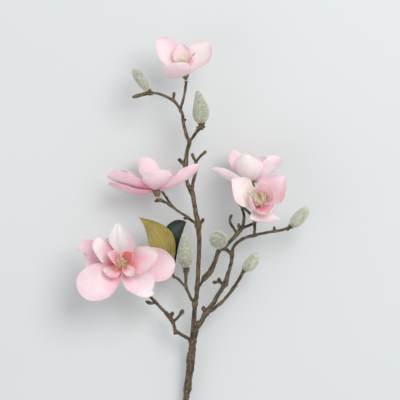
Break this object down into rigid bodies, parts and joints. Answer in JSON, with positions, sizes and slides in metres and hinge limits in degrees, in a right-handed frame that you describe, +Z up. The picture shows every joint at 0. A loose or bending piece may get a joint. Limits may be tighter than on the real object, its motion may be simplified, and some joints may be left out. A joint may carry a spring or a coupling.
{
  "type": "magnolia branch",
  "caption": "Cut magnolia branch lying down: crooked brown twigs with open pink flowers around cream stamens, furry grey-green buds and small leaves.",
  "frame": {"origin": "centre of the bounding box's base, on the surface that the branch lies on", "axes": "+X across the branch, +Y along it from the cut end to the top flower, +Z up from the surface"},
  "size_m": [0.2543, 0.4977, 0.0913],
  "materials": {
    "bark": "moulded brown bark with tan highlights on its ridges",
    "outer_petals": "thin pressed cloth, pale pink with whitish rims and fine veins",
    "inner_petals": "thin pressed cloth, pink with coral throat and white rims",
    "stamens": "cream-yellow fine filaments",
    "bud_fur": "grey-green scales under short whitish fur",
    "leaf_underside": "olive leaf underside with fine straight veins",
    "leaf_green": "dark green satin leaf"
  },
  "bodies": {
    "root": {"back_flower_inner_petal_1": "inner_petals", "back_flower_outer_petal_1": "outer_petals", "back_flower_outer_petal_2": "outer_petals", "back_flower_outer_petal_3": "outer_petals", "back_flower_outer_petal_4": "outer_petals", "back_flower_stamens": "stamens", "back_leaf": "leaf_green", "front_bud": "bud_fur", "front_bud_twig": "bark", "front_leaf": "leaf_underside", "left_bud": "bud_fur", "left_bud_twig": "bark", "left_flower_inner_petal_1": "inner_petals", "left_flower_inner_petal_2": "inner_petals", "left_flower_inner_petal_3": "inner_petals", "left_flower_inner_petal_4": "inner_petals", "left_flower_middle_petal_1": "inner_petals", "left_flower_middle_petal_2": "inner_petals", "left_flower_middle_petal_3": "inner_petals", "left_flower_outer_petal_1": "outer_petals", "left_flower_outer_petal_2": "outer_petals", "left_flower_outer_petal_3": "outer_petals", "left_flower_outer_petal_4": "outer_petals", "left_flower_stamens": "stamens", "lower_left_twig": "bark", "main_stem": "bark", "middle_flower_inner_petal_1": "inner_petals", "middle_flower_middle_petal_1": "inner_petals", "middle_flower_middle_petal_2": "inner_petals", "middle_flower_outer_petal_1": "outer_petals", "middle_flower_outer_petal_2": "outer_petals", "middle_flower_outer_petal_3": "outer_petals", "middle_flower_outer_petal_4": "outer_petals", "middle_flower_stamens": "stamens", "middle_flower_twig": "bark", "outer_right_bud": "bud_fur", "outer_right_twig": "bark", "right_branch": "bark", "right_branch_top": "bark", "right_flower_inner_petal_1": "inner_petals", "right_flower_inner_petal_2": "inner_petals", "right_flower_inner_petal_3": "inner_petals", "right_flower_outer_petal_1": "outer_petals", "right_flower_outer_petal_2": "outer_petals", "right_flower_outer_petal_3": "outer_petals", "right_flower_stamens": "stamens", "right_flower_twig": "bark", "right_side_twig": "bark", "side_bud": "bud_fur", "top_flower_inner_petal_1": "inner_petals", "top_flower_inner_petal_2": "inner_petals", "top_flower_outer_petal_1": "outer_petals", "top_flower_outer_petal_2": "outer_petals", "top_flower_outer_petal_3": "outer_petals", "top_flower_stamens": "stamens", "top_left_bud": "bud_fur", "top_left_twig": "bark", "top_right_bud": "bud_fur", "top_right_twig": "bark", "upper_stem": "bark"}
  },
  "joints": []
}
